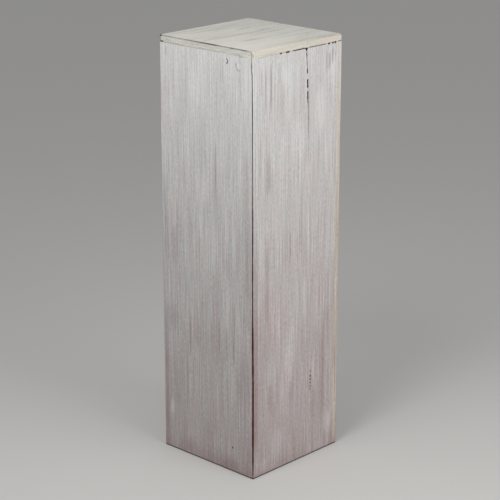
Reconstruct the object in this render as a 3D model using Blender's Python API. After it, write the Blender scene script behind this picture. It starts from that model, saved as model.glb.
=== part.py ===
"""A square wooden column: a hollow display pedestal of five pine boards.

Two full-width uprights stand at the front and the back, and two narrower ones are glued between them.
A square board lies flush on their upper ends. The column is open underneath and rests on the ends of its
four uprights. The origin is at the middle of the underside, with +Z up. The front looks along -Y and the
right side along +X.
"""

from math import cos, pi, sin

import bmesh
import bpy
from mathutils import Vector

# Driving dimensions, in metres
SIDE = 0.290  # outside width of the square column
HEIGHT = 1.000  # floor to upper surface
WALL = 0.016  # thickness of the four upright boards
TOP_THICKNESS = 0.016  # thickness of the board on top
GLUE_LINE = 0.0003  # gap between neighbouring boards

# Eased arrises, as radii
UPRIGHT_ARRIS = 0.0015
TOP_ARRIS = 0.0025
TOP_CORNER = 0.003

# The open split in the right board, which starts from its upper end
SPLIT_OFFSET = 0.027  # from the board's middle towards the back, at the upper end
SPLIT_LENGTH = 0.130
SPLIT_WIDTH = 0.0024  # where it opens into the chip
SPLIT_DEPTH = 0.010
SPLIT_LEAN = 0.0056  # how far the lower tip lies further back than the upper end
SPLIT_WAVER = 0.25  # share by which its width comes and goes
SPLIT_WAVE_ANGLE = 23.0  # radians of that wave over the length
CHIP_WIDTH = 0.012
CHIP_DROP = 0.009

# Small hollows: across is from the board's middle, up is from the floor, down is from the column's top
KNOT_ACROSS = 0.071
KNOT_DOWN = 0.031
KNOT_WIDTH = 0.0036
KNOT_LENGTH = 0.0105
KNOT_DEPTH = 0.0016
NAIL_HOLE_ACROSS = 0.080
NAIL_HOLE_UP = 0.056
NAIL_HOLE_WIDTH = 0.0030
NAIL_HOLE_DEPTH = 0.0020
CHECK_ACROSS = 0.049
CHECK_UP = 0.187
CHECK_WIDTH = 0.0026
CHECK_LENGTH = 0.021
CHECK_DEPTH = 0.0012

# Drying cracks in the top board: place across and along the grain from the board's middle, and length
TOP_CRACKS = ((-0.058, 0.035, 0.046), (-0.018, 0.064, 0.041), (-0.036, 0.138, 0.034))
TOP_CRACK_WIDTH = 0.0018
TOP_CRACK_DEPTH = 0.0014

# Fineness of the rounded forms
ARRIS_STEPS = 3
CORNER_STEPS = 6
HOLLOW_SIDES = 14
HOLLOW_RINGS = 3
SPLIT_STEPS = 12

# Depth in front of a face that a cutter starts from
CUTTER_START = 0.004

# Finish: the wash is matt, and a little smoother where hands wipe the top; colours are linear
WALL_ROUGHNESS = 0.62
TOP_ROUGHNESS = 0.58
FRONT_COLOUR = (0.52, 0.49, 0.47)
RIGHT_COLOUR = (0.56, 0.51, 0.50)
BACK_COLOUR = (0.53, 0.50, 0.47)
LEFT_COLOUR = (0.52, 0.48, 0.46)
TOP_COLOUR = (0.60, 0.57, 0.49)

# Angle within which two directions count as one, and the angle from which an edge stays sharp, in radians
PARALLEL_ANGLE = pi / 90
SHARP_ANGLE = pi / 5

# Worked out from the driving dimensions
OUTER = SIDE / 2
INNER = OUTER - WALL
BOARD_TOP = HEIGHT - TOP_THICKNESS - GLUE_LINE
TOP_UNDERSIDE = HEIGHT - TOP_THICKNESS

# Axis directions of faces that stay open to the outside
RIGHT, LEFT = Vector((1, 0, 0)), Vector((-1, 0, 0))
BACK, FRONT = Vector((0, 1, 0)), Vector((0, -1, 0))
UP, DOWN = Vector((0, 0, 1)), Vector((0, 0, -1))


def clear_scene():
    """Remove every object, so that the file holds only the column."""
    for old in list(bpy.data.objects):
        bpy.data.objects.remove(old, do_unlink=True)


def whitewashed_pine(name, colour, roughness):
    """Pine with a thin, matt, rubbed-down wash; colour is linear."""
    material = bpy.data.materials.new(name)
    material.use_nodes = True
    shader = material.node_tree.nodes["Principled BSDF"]
    shader.inputs["Base Color"].default_value = (*colour, 1.0)
    shader.inputs["Roughness"].default_value = roughness
    shader.inputs["Metallic"].default_value = 0.0
    material.diffuse_color = (*colour, 1.0)
    return material


def box_mesh(low, high):
    """A closed box between two corners, as a bmesh."""
    box = bmesh.new()
    bmesh.ops.create_cube(box, size=1.0)
    size = Vector(high) - Vector(low)
    middle = (Vector(high) + Vector(low)) / 2
    for vertex in box.verts:
        vertex.co = Vector(a * b for a, b in zip(vertex.co, size)) + middle
    box.normal_update()
    return box


def faces_along(face, directions):
    """Whether a face looks along one of the directions."""
    return any(face.normal.angle(direction) < PARALLEL_ANGLE for direction in directions)


def edges_between(box, first, second):
    """Edges where a face along one of first meets a face along one of second."""
    found = []
    for edge in box.edges:
        one, other = edge.link_faces
        straight = faces_along(one, first) and faces_along(other, second)
        swapped = faces_along(other, first) and faces_along(one, second)
        if straight or swapped:
            found.append(edge)
    return found


def ease(box, edges, radius, steps):
    """Round the edges over."""
    bmesh.ops.bevel(
        box,
        geom=edges,
        offset=radius,
        offset_type="OFFSET",
        segments=steps,
        profile=0.5,
        affect="EDGES",
        clamp_overlap=True,
    )
    box.normal_update()


def finish_board(box, name, material):
    """Turn a bmesh into a named object, with its origin at the middle of the board."""
    low = Vector(min(v.co[axis] for v in box.verts) for axis in range(3))
    high = Vector(max(v.co[axis] for v in box.verts) for axis in range(3))
    middle = (low + high) / 2
    bmesh.ops.translate(box, verts=box.verts, vec=-middle)
    mesh = bpy.data.meshes.new(name)
    box.to_mesh(mesh)
    box.free()
    mesh.materials.append(material)
    mesh.shade_smooth()
    mesh.set_sharp_from_angle(angle=SHARP_ANGLE)
    board = bpy.data.objects.new(name, mesh)
    board.location = middle
    bpy.context.collection.objects.link(board)
    return board


def upright_board(name, low, high, outside, colour):
    """An upright board, eased where its outside faces meet each other and the floor."""
    box = box_mesh(low, high)
    edges = edges_between(box, outside, outside) + edges_between(box, outside, [DOWN])
    ease(box, edges, UPRIGHT_ARRIS, ARRIS_STEPS)
    return finish_board(box, name, whitewashed_pine(name, colour, WALL_ROUGHNESS))


def full_width_board(name, outside, colour):
    """The front or the back board, which runs from side to side."""
    y_near, y_far = sorted((outside.y * OUTER, outside.y * INNER))
    low = (-OUTER, y_near, 0.0)
    high = (OUTER, y_far, BOARD_TOP)
    return upright_board(name, low, high, [outside, LEFT, RIGHT], colour)


def fitted_board(name, outside, colour):
    """The left or the right board, which is glued between the front and the back board."""
    x_near, x_far = sorted((outside.x * OUTER, outside.x * INNER))
    half_width = INNER - GLUE_LINE
    low = (x_near, -half_width, 0.0)
    high = (x_far, half_width, BOARD_TOP)
    return upright_board(name, low, high, [outside], colour)


def square_top_board(name, colour):
    """The board that closes the top: rounded corners, and an eased upper arris all round."""
    sides = [FRONT, RIGHT, BACK, LEFT]
    box = box_mesh((-OUTER, -OUTER, TOP_UNDERSIDE), (OUTER, OUTER, HEIGHT))
    ease(box, edges_between(box, sides, sides), TOP_CORNER, CORNER_STEPS)
    upper = [face for face in box.faces if faces_along(face, [UP])]
    ease(box, list(upper[0].edges), TOP_ARRIS, ARRIS_STEPS)
    return finish_board(box, name, whitewashed_pine(name, colour, TOP_ROUGHNESS))


def cutter_object(name, box):
    """A hidden helper that a Boolean cuts with."""
    mesh = bpy.data.meshes.new(name)
    bmesh.ops.recalc_face_normals(box, faces=box.faces)
    box.to_mesh(mesh)
    box.free()
    cutter = bpy.data.objects.new(name, mesh)
    cutter.hide_render = True
    cutter.display_type = "WIRE"
    bpy.context.collection.objects.link(cutter)
    return cutter


def cut(board, cutter):
    """Take the cutter's form out of the board."""
    boolean = board.modifiers.new(cutter.name, "BOOLEAN")
    boolean.operation = "DIFFERENCE"
    boolean.solver = "EXACT"
    boolean.object = cutter


def split_half_width(fraction):
    """Half the split's width at a fraction of its length: it tapers to a point and wavers a little."""
    waver = 1.0 + SPLIT_WAVER * sin(fraction * SPLIT_WAVE_ANGLE)
    return SPLIT_WIDTH / 2 * (1.0 - fraction) * waver


def split_cutter():
    """The split with its chip: a leaning sliver in the right board's face, cut square into the wood."""
    chip_share = CHIP_DROP / SPLIT_LENGTH
    fractions = [chip_share + (1.0 - chip_share) * step / SPLIT_STEPS for step in range(SPLIT_STEPS)]
    centre = [(SPLIT_OFFSET + SPLIT_LEAN * f, BOARD_TOP - SPLIT_LENGTH * f) for f in fractions]
    one_side = [(y + split_half_width(f), z) for (y, z), f in zip(centre, fractions)]
    other_side = [(y - split_half_width(f), z) for (y, z), f in zip(centre, fractions)]
    tip = [(SPLIT_OFFSET + SPLIT_LEAN, BOARD_TOP - SPLIT_LENGTH)]
    rim = BOARD_TOP + CUTTER_START
    rim_half = CHIP_WIDTH / 2 * (1.0 + CUTTER_START / CHIP_DROP)
    chip = [(SPLIT_OFFSET - rim_half, rim), (SPLIT_OFFSET + rim_half, rim)]
    outline = chip + one_side + tip + other_side[::-1]
    box = bmesh.new()
    corners = [box.verts.new((OUTER + CUTTER_START, y, z)) for y, z in outline]
    face = box.faces.new(corners)
    grown = bmesh.ops.extrude_face_region(box, geom=[face])
    inner_corners = [item for item in grown["geom"] if isinstance(item, bmesh.types.BMVert)]
    bmesh.ops.translate(box, verts=inner_corners, vec=LEFT * (CUTTER_START + SPLIT_DEPTH))
    return cutter_object("split_cutter", box)


def hollow_cutter(name, centre, directions, width, length, depth):
    """A shallow boat-shaped hollow; directions are those of its width, its length and its mouth."""
    across, along, outward = directions
    box = bmesh.new()
    rings = []
    for ring in range(HOLLOW_RINGS):
        lean = ring / HOLLOW_RINGS * pi / 2
        level = []
        for side in range(HOLLOW_SIDES):
            angle = 2 * pi * side / HOLLOW_SIDES
            offset = across * (width / 2 * cos(angle)) + along * (length / 2 * sin(angle))
            level.append(box.verts.new(centre + offset * cos(lean) - outward * (depth * sin(lean))))
        rings.append(level)
    lid = [box.verts.new(vertex.co + outward * CUTTER_START) for vertex in rings[0]]
    levels = [lid] + rings
    for upper, lower in zip(levels, levels[1:]):
        for side in range(HOLLOW_SIDES):
            after = (side + 1) % HOLLOW_SIDES
            box.faces.new((upper[side], upper[after], lower[after], lower[side]))
    box.faces.new(lid)
    pole = box.verts.new(centre - outward * depth)
    for side in range(HOLLOW_SIDES):
        box.faces.new((rings[-1][side], rings[-1][(side + 1) % HOLLOW_SIDES], pole))
    return cutter_object(name, box)


def mark_front_board(board):
    """The dead knot near the top and the nail hole near the floor."""
    directions = (RIGHT, UP, FRONT)
    knot_at = Vector((KNOT_ACROSS, -OUTER, HEIGHT - KNOT_DOWN))
    cut(board, hollow_cutter("knot_cutter", knot_at, directions, KNOT_WIDTH, KNOT_LENGTH, KNOT_DEPTH))
    nail_at = Vector((NAIL_HOLE_ACROSS, -OUTER, NAIL_HOLE_UP))
    size = (NAIL_HOLE_WIDTH, NAIL_HOLE_WIDTH, NAIL_HOLE_DEPTH)
    cut(board, hollow_cutter("nail_hole_cutter", nail_at, directions, *size))


def mark_right_board(board):
    """The open split with its chip, and the short drying check low on the board."""
    cut(board, split_cutter())
    check_at = Vector((OUTER, CHECK_ACROSS, CHECK_UP))
    size = (CHECK_WIDTH, CHECK_LENGTH, CHECK_DEPTH)
    cut(board, hollow_cutter("check_cutter", check_at, (BACK, UP, RIGHT), *size))


def mark_top_board(board):
    """The drying cracks along the top board's grain; the last one runs out at the back arris."""
    for number, (across, along, length) in enumerate(TOP_CRACKS, start=1):
        crack_at = Vector((across, along, HEIGHT))
        size = (TOP_CRACK_WIDTH, length, TOP_CRACK_DEPTH)
        cut(board, hollow_cutter(f"top_crack_cutter_{number}", crack_at, (RIGHT, BACK, UP), *size))


def build_column():
    """Make the five boards."""
    clear_scene()
    front = full_width_board("front_board", FRONT, FRONT_COLOUR)
    right = fitted_board("right_board", RIGHT, RIGHT_COLOUR)
    full_width_board("back_board", BACK, BACK_COLOUR)
    fitted_board("left_board", LEFT, LEFT_COLOUR)
    top = square_top_board("top_board", TOP_COLOUR)
    mark_front_board(front)
    mark_right_board(right)
    mark_top_board(top)


build_column()
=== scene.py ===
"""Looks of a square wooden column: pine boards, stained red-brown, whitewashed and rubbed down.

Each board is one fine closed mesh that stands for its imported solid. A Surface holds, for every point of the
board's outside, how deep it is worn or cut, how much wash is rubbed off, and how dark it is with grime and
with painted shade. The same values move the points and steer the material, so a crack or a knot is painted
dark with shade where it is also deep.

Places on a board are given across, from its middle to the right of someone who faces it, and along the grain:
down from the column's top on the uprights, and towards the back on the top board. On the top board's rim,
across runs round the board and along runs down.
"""

from math import cos, pi, radians, sin

import bpy
import numpy as np
from bpy.props import FloatProperty, FloatVectorProperty, PointerProperty
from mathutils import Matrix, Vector


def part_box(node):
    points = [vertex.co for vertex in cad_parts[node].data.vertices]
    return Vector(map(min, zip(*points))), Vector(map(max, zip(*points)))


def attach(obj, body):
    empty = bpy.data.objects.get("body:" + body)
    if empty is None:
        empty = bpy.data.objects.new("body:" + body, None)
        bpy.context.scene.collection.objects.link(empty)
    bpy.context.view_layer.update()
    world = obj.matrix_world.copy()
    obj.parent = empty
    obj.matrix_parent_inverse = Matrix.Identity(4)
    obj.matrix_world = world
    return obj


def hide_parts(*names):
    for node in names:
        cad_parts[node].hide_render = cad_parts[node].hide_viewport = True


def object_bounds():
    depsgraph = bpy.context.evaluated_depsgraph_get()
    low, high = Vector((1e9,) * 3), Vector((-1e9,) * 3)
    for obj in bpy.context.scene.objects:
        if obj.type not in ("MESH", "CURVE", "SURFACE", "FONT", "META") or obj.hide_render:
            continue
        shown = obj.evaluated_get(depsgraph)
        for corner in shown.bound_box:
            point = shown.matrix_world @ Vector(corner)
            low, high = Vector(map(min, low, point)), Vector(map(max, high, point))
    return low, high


bl_info = {
    "name": "Whitewashed wooden column",
    "version": (1, 0, 0),
    "blender": (4, 5, 0),
    "location": "View3D > Sidebar > Column",
    "description": "Builds a square column of whitewashed pine boards and a plain stage for it",
    "category": "Object",
}

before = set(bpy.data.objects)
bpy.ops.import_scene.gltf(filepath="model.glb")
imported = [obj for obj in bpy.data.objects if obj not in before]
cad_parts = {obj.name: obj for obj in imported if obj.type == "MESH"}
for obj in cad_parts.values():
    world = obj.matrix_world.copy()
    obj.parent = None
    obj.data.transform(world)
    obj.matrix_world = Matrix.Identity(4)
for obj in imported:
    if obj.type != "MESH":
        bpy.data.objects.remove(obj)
CAD_LOW, CAD_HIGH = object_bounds()

MM = 0.001

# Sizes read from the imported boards, in metres
OUTER = CAD_HIGH[0]
HEIGHT = CAD_HIGH[2]
FRONT_LOW, FRONT_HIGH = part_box("front_board")
TOP_LOW, TOP_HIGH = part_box("top_board")
WALL = FRONT_HIGH[1] - FRONT_LOW[1]
JOINT_DOWN = HEIGHT - TOP_LOW[2]

# Wash fills the glue lines, so the boards reach to within this of each other
FILLED_GAP = 0.02 * MM
UPRIGHT_START = HEIGHT - (TOP_LOW[2] - FILLED_GAP)
FITTED_HALF = OUTER - WALL - FILLED_GAP

# Facing of each upright in plan
FRONT, RIGHT, BACK, LEFT = (0.0, -1.0), (1.0, 0.0), (0.0, 1.0), (-1.0, 0.0)

# Fineness of the meshes: spacing across and along the grain, and steps round an arris, along an edge strip
# and across the inside
ACROSS_PITCH = 1.0 * MM
ALONG_PITCH = 8.0 * MM
ARRIS_STEPS = 5
STRIP_STEPS = 13
INSIDE_STEPS = 8
TOP_ACROSS_PITCH = 1.2 * MM
TOP_ALONG_PITCH = 3.0 * MM
RIM_PITCH = 1.2 * MM

# Spacing at the upper and the lower arris of the top board
UPPER_SPACING = 0.4 * MM
LOWER_SPACING = 0.25 * MM

# Edges that turn by more than this are shaded as sharp
SHARP_ANGLE = radians(40)

# How many places the spacing of a mesh is worked out at
PROBES = 20001

# The split in the right board: its line, as down from the top and across, the line's middle, how far beside
# it the grid bends along, and how far the line wavers
SPLIT_LINE = (
    (0.018, 0.0266), (0.034, 0.0273), (0.070, 0.0298), (0.090, 0.0308), (0.106, 0.0317),
    (0.130, 0.0320), (0.160, 0.0346), (0.290, 0.0372),
)
SPLIT_MIDDLE = 0.0291
SPLIT_REACH = 50 * MM
SPLIT_WAVER = 0.35 * MM

# The chip broken out at the top of the split
CHIP_WIDTH = 12 * MM
CHIP_DROP = 10 * MM
CHIP_DEPTH = 6 * MM

# The open stretches of the split, in millimetres: start and end below the top, width, depth
SPLIT_STRETCHES = (
    (16, 25, 3.0, 8.0), (26, 36, 3.8, 8.0), (34, 65, 2.2, 6.0), (63, 74, 4.6, 7.0),
    (87, 100, 5.4, 6.0), (100, 107, 5.6, 5.0), (114, 133, 4.6, 5.0), (131, 142, 2.8, 3.0),
    (139, 224, 1.0, 0.8), (216, 222, 2.6, 1.4),
)

# Where the joint under the top board stays open on the right side, in millimetres: start, end, height. The
# last stretch lies on the back board's edge.
JOINT_GAPS = (
    (-61, -53, 2.2), (-41, -29, 2.4), (-18, 21, 1.5), (36, 91, 1.2), (98, 105, 3.2), (111, 118, 2.8),
    (120, 126, 3.6), (132, 143, 3.0),
)

# Where the wash fills the joint: the place where it starts to and the width over which it comes in. In front
# it fills towards the right, and thickly near the corner. On the right side it fills towards the near corner.
FRONT_FILL = (-0.145, 0.20)
RIGHT_FILL = (0.05, 0.02)
THICK_FILL = (0.105, 0.02)

# The drying check low in the right board, a row of short dashes: middle down, length in millimetres, how dark
# with painted shade and grime
CHECK_DASHES = (
    (0.787, 6, 0.45), (0.799, 7, 1.0), (0.8075, 6, 1.0), (0.816, 5, 0.8), (0.8245, 5, 0.8),
    (0.8325, 5, 0.45),
)
CHECK_ACROSS = 0.0502
CHECK_WIDTH = 4.6 * MM
CHECK_DEPTH = 1.2 * MM

# The dead knot in the front board, two short hollows that lean together: across, down, lean
DEAD_KNOT = ((0.0672, 0.0290, 0.75), (0.0672, 0.0345, -0.75))
DEAD_KNOT_SIZE = (3.6 * MM, 8.0 * MM)
DEAD_KNOT_DEPTH = 1.4 * MM

# The pale knot beside it: across, down, width, length
PALE_KNOT = (0.103, 0.038, 20 * MM, 22 * MM)

# The nail hole low in the front board: across, down
NAIL_HOLE = (0.080, 0.941)
NAIL_WIDTH = 3.8 * MM
NAIL_DEPTH = 2.0 * MM

# Drying cracks in the top board: middle across, middle along, length
TOP_CRACKS = ((-0.058, 0.035, 0.046), (-0.018, 0.064, 0.041), (-0.036, 0.138, 0.034))
TOP_CRACK_WIDTH = 1.8 * MM
TOP_CRACK_DEPTH = 1.4 * MM
TOP_CRACK_WAVER = 0.5 * MM

# The edge of the top board's face: where it starts, and the width over which it comes in
TOP_EDGE = (OUTER - 8 * MM, 3 * MM)

# Radius of the eased edge under the top board
LOW_ARRIS = 0.5 * MM

# Where the meshes are finer: middle, reach, spacing
UPRIGHT_END_SPOTS = ((HEIGHT, 3 * MM, 0.45 * MM), (UPRIGHT_START, 4 * MM, 0.6 * MM))
FRONT_ACROSS_SPOTS = ((0.070, 5 * MM, 0.5 * MM), (0.101, 10 * MM, 0.7 * MM), (0.080, 2 * MM, 0.5 * MM))
FRONT_DOWN_SPOTS = (
    (0.031, 7 * MM, 0.7 * MM),
    (0.038, 11 * MM, 0.9 * MM),
    (HEIGHT - 0.056, 2.5 * MM, 0.5 * MM),
)
RIGHT_ACROSS_SPOTS = ((SPLIT_MIDDLE, 3.5 * MM, 0.35 * MM), (0.049, 1.5 * MM, 0.5 * MM))
RIGHT_DOWN_SPOTS = ((0.018, 8 * MM, 0.7 * MM), (0.070, 66 * MM, 1.3 * MM), (0.813, 25 * MM, 1.3 * MM))
TOP_CRACK_SPOTS = tuple((across, 2.0 * MM, 0.45 * MM) for across, _, _ in TOP_CRACKS)

# How bare each upright arris is rubbed, as down from the top and share of the wash that is gone
NEAR_ARRIS_WEAR = (
    (0.03, 0.15), (0.09, 0.30), (0.12, 0.50), (0.15, 0.45), (0.30, 0.40), (0.35, 0.85), (0.44, 0.95),
    (0.48, 0.90), (0.60, 1.1), (0.75, 1.8), (0.90, 1.7), (0.95, 1.3), (0.99, 0.6),
)
LEFT_ARRIS_WEAR = ((0.02, 0.5), (0.2, 0.25), (0.5, 0.35), (1.0, 0.45))
RIGHT_ARRIS_WEAR = ((0.02, 0.3), (0.5, 0.35), (1.0, 0.5))
BACK_ARRIS_WEAR = ((0.02, 0.4), (0.4, 0.7), (1.0, 0.8))

# Where the bare line runs on the near arris, as down from the top and across, a little left of the corner
NEAR_ARRIS_LINE = (
    (0.042, 0.1400), (0.052, 0.1418), (0.110, 0.1430), (0.300, 0.1435), (0.650, 0.1438),
    (0.760, 0.1450),
)

# How dirty that line is, as down from the top and share
NEAR_ARRIS_DIRT = (
    (0.016, 0.65), (0.021, 0.25), (0.026, 0.65), (0.033, 1.00), (0.040, 0.60), (0.048, 0.90),
    (0.060, 0.80), (0.090, 0.70), (0.130, 1.00), (0.190, 1.00), (0.260, 0.70), (0.320, 0.50),
    (0.360, 0.00),
)

# Share of the wash that is gone from the front board's edge strip, as down from the top and share
NEAR_STRIP_WEAR = (
    (0.28, 0.0), (0.35, 0.015), (0.45, 0.035), (0.55, 0.070), (0.65, 0.120), (0.90, 0.090),
    (0.97, 0.0),
)

# How cream the back board's edge strip is, as down from the top and share
FAR_STRIP_CREAM = ((0.05, 0.30), (0.20, 0.65), (0.50, 0.80))

# How dark the front upper arris of the top board is worn, as across and share
TOP_ARRIS_WEAR = (
    (-0.130, 0.60), (-0.110, 0.65), (-0.100, 0.55), (-0.050, 0.60), (-0.040, 0.74), (-0.020, 0.80),
    (-0.010, 1.00), (0.000, 1.10), (0.030, 1.20), (0.040, 0.85), (0.050, 0.68), (0.070, 0.70),
    (0.080, 1.08), (0.090, 0.80), (0.120, 0.98), (0.130, 0.52),
)

# Streaks of thin, pinker wash: across, start and end, width in millimetres, share of the wash that is gone
FRONT_STREAKS = (
    (0.030, 0.20, 0.35, 5.2, 0.17),
    (0.029, 0.18, 0.46, 18, 0.07),
    (-0.056, 0.63, 0.76, 8, 0.16),
    (-0.042, 0.62, 0.72, 5.2, 0.10),
    (0.039, 0.62, 0.73, 6, 0.15),
    (0.062, 0.63, 0.74, 5.2, 0.13),
    (0.084, 0.65, 0.76, 7, 0.16),
    (0.012, 0.62, 0.72, 6, 0.10),
    (-0.120, 0.08, 0.24, 32, 0.05),
    (-0.135, 0.30, 0.55, 24, 0.06),
    (-0.137, 0.55, 1.10, 20, 0.12),
    (-0.125, 0.02, 0.05, 10, 0.12),
    (0.125, 0.22, 0.66, 40, 0.06),
    (-0.105, 0.42, 0.56, 28, 0.05),
)
RIGHT_STREAKS = (
    (-0.105, 0.02, 0.16, 6, 0.30),
    (-0.088, 0.02, 0.15, 8, 0.30),
    (-0.118, 0.03, 0.12, 5, 0.20),
    (-0.060, 0.02, 0.10, 8, 0.12),
    (0.094, 0.60, 0.97, 18, 0.14),
    (0.094, 0.02, 0.09, 8, 0.22),
    (0.104, 0.03, 0.08, 10, 0.30),
    (0.114, 0.02, 0.07, 10, 0.32),
    (0.123, 0.03, 0.06, 8, 0.18),
    (0.058, 0.78, 0.93, 16, 0.10),
    (0.047, 0.76, 0.86, 12, 0.08),
    (-0.095, 0.22, 0.34, 24, 0.12),
    (-0.100, 0.40, 0.66, 26, 0.14),
    (-0.090, 0.76, 0.86, 24, 0.12),
    (-0.022, 0.42, 0.50, 7, 0.24),
    (0.110, 0.62, 0.76, 18, 0.09),
    (0.015, 0.30, 0.52, 16, 0.08),
)

# Broader streaks of thin wash: across, start and end, width and fade in millimetres, share that is gone
LEFT_BANDS = ((-0.035, 0.10, 0.35, 12, 80, 0.15), (0.070, 0.55, 0.90, 14, 100, 0.15))
TOP_BANDS = (
    (0.049, -0.09, 0.00, 26, 40, 0.14),
    (-0.100, -0.12, 0.05, 8, 50, 0.10),
    (0.010, -0.02, 0.12, 5, 50, 0.12),
)

# Slanting hairs of thin wash: across, down, width and length in millimetres, lean, share that is gone
FRONT_HAIRS = (
    (0.0915, 0.037, 2.8, 19, -0.60, 0.14),
    (-0.087, 0.43, 2.4, 80, 0.05, 0.15),
    (-0.049, 0.43, 2.4, 80, 0.06, 0.15),
)
RIGHT_HAIRS = ((CHECK_ACROSS, 0.805, 2.6, 100, 0, 0.08),)

# Soft patches of thin wash, or of thick wash where the share is below 0: across, down, width and length in
# millimetres, share that is gone
FRONT_PATCHES = (
    (0.108, JOINT_DOWN + MM, 18, 5, 0.25),
    (-0.119, 0.895, 22, 75, -0.14),
    (-0.010, 0.33, 70, 120, -0.05),
    (-0.030, 0.10, 90, 160, -0.05),
    (-0.060, 0.975, 90, 60, 0.06),
    (0.070, 0.985, 190, 80, 0.09),
    (0.020, 0.69, 220, 150, 0.04),
    (-0.115, 0.16, 70, 130, -0.07),
    (-0.115, 0.67, 70, 120, 0.08),
    (0.118, 0.76, 60, 240, 0.07),
)
RIGHT_PATCHES = (
    (0.0400, 0.815, 14, 40, 0.05),
    (-0.045, 0.07, 36, 90, -0.14),
    (0.075, 0.16, 50, 180, -0.12),
    (0.000, 0.22, 60, 160, -0.08),
    (-0.020, 0.72, 60, 240, -0.08),
    (-0.110, 0.98, 40, 60, -0.06),
    (0.080, 0.990, 150, 50, -0.08),
    (0.110, 0.07, 90, 110, -0.08),
    (-0.115, 0.69, 70, 280, 0.06),
    (0.055, 0.80, 90, 140, -0.07),
    (-0.060, 0.93, 70, 110, -0.06),
    (0.115, 0.93, 70, 110, -0.13),
)
FAR_STRIP_PATCHES = ((-OUTER - 8 * MM, 0.88, 40, 260, -0.13),)

# Soft patches of pinker wash, laid out in the same way, with the share of the blush
FRONT_BLUSH_PATCHES = (
    (-0.130, 0.15, 45, 130, 0.5),
    (-0.110, 0.48, 70, 150, 0.5),
    (-0.060, 0.97, 120, 60, 0.2),
)
RIGHT_BLUSH_PATCHES = (
    (-0.090, 0.62, 90, 220, 0.4),
    (0.100, 0.68, 70, 200, 0.2),
    (0.050, 0.86, 120, 220, 0.2),
)

# How much pinker the wash is all over the front and the right board, and where the edge strip is worn
FRONT_BLUSH = -0.15
RIGHT_BLUSH = 0.1
STRIP_BLUSH = 4.0

# A line that wanders is a sum of waves: their lengths as shares of its pitch, and what divides the sum
WANDER_WAVES = (0.7, 1.25, 1.8, 2.35)
WANDER_SUM = 2.6

# Brush streaks: how many times over they cover the board, their breadth and reach as shares of the usual
# ones, and how far and over what length they sway together
STREAK_LAYERS = 3.0
STREAK_BREADTHS = (0.3, 0.9)
STREAK_REACHES = (0.2, 0.9)
STREAK_SWAY = 1.2 * MM
SWAY_PITCH = 350 * MM

# How deep the soft grain is brushed out, as shares of its usual depth: with no streak, how much less a streak
# makes it, and at most
GRAIN_MEAN = 0.5
GRAIN_SWING = 0.4
GRAIN_MOST = 1.5

# Streaks against those of the other boards: how strong they are, and on top how broad and how long
RIGHT_STREAK_GAIN = 1.6
TOP_STREAK_GAIN = 9.0
TOP_STREAK_BREADTH = 3.0
TOP_STREAK_LENGTH = 0.6

# Streaks along the rim: how strong they are, and how fine each layer of them is
RIM_STREAK_GAIN = 12.0
RIM_STREAK_PITCHES = (4 * MM, 6 * MM, 8 * MM)

# Patterns of the whitewash, in millimetres: name, width, length, detail and how far the cover swings. The
# fibres are drawn 2.2 mm wide, as coarse as they need to be to show. The tints swing the blush instead.
GRAIN_PATTERNS = (
    ("fibres", 2.2, 180.0, 1.0, 0.17),
    ("streaks", 3.0, 40.0, 2.0, 0.07),
    ("specks", 2.4, 9.0, 1.0, 0.11),
    ("bands", 38.0, 200.0, 1.0, 0.045),
    ("tints", 24.0, 90.0, 1.0, 0.45),
)
NOISE_ROUGHNESS = 0.6

# How much a brush streak adds to the cover, and what a rubbed mark adds to it where the fibres' pattern is 0
# and where it is 1
STREAK_SHARE = 0.006
RUB_RANGE = (-0.3, -1.7)

# Where the stain, the rubbed stain, the thin wash and the thick wash stand on the scale of the cover
COVER_STOPS = (0.0, 0.32, 0.70, 1.0)

# How much the stain tints the wash, at the floor and at the top
WALL_BLUSH = (0.6, 0.0)
TOP_BLUSH = (0.0, 0.0)

# Sheen of the finish: roughness from bare stain to thick wash, and how strongly it mirrors
ROUGHNESS_RANGE = (0.46, 0.66)
SPECULAR = 0.3

# Relief of the fibres: depth, strength, and how much of it the fine streaks make
RELIEF_DEPTH = 0.15 * MM
RELIEF_STRENGTH = 0.6
RELIEF_STREAKS = 0.6

# Bare pine: width and length of its growth rings, place and shade of each end of their colours, roughness
RING_WIDTH = 6 * MM
RING_LENGTH = 300 * MM
RING_SHADES = ((0.3, 0.62), (0.7, 1.0))
PINE_ROUGHNESS = 0.6

# Each board's grain patterns are moved on by this many metres times its seed
GRAIN_SHIFT = 0.5

# Seed of the top board
TOP_SEED = 71

# Lights: name, azimuth in degrees, distance and height of the middle, side of the square, power in watts
LIGHTS = (
    ("left_light", 5.0, 2.2, 1.8, 1.2, 9.7),
    ("right_light", 95.0, 2.0, 1.6, 1.2, 8.4),
    ("low_right_light", 80.0, 2.2, 0.7, 1.2, 11.4),
    ("top_light", 20.0, 0.9, 1.9, 0.5, 6.9),
)

# Height that every light aims at, strength of the white world round it all, and roughness of the floor
LIGHT_AIM = 0.75 * HEIGHT
WORLD_STRENGTH = 0.36
FLOOR_ROUGHNESS = 0.85


def linear(hex_colour):
    """An sRGB colour such as #D8D5D1 as linear red, green and blue."""
    channels = [int(hex_colour[start : start + 2], 16) / 255 for start in (1, 3, 5)]
    return tuple(c / 12.92 if c <= 0.04045 else ((c + 0.055) / 1.055) ** 2.4 for c in channels)


def length_property(name, description, default):
    """A size in metres."""
    settings = {"default": default, "min": 0.0, "unit": "LENGTH", "precision": 5}
    return FloatProperty(name=name, description=description, **settings)


def share_property(name, description, default):
    """A share from none to all."""
    settings = {"default": default, "min": 0.0, "max": 1.0, "subtype": "FACTOR"}
    return FloatProperty(name=name, description=description, **settings)


def angle_property(name, description, degrees):
    """An angle, given in degrees."""
    return FloatProperty(name=name, description=description, default=radians(degrees), subtype="ANGLE")


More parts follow.
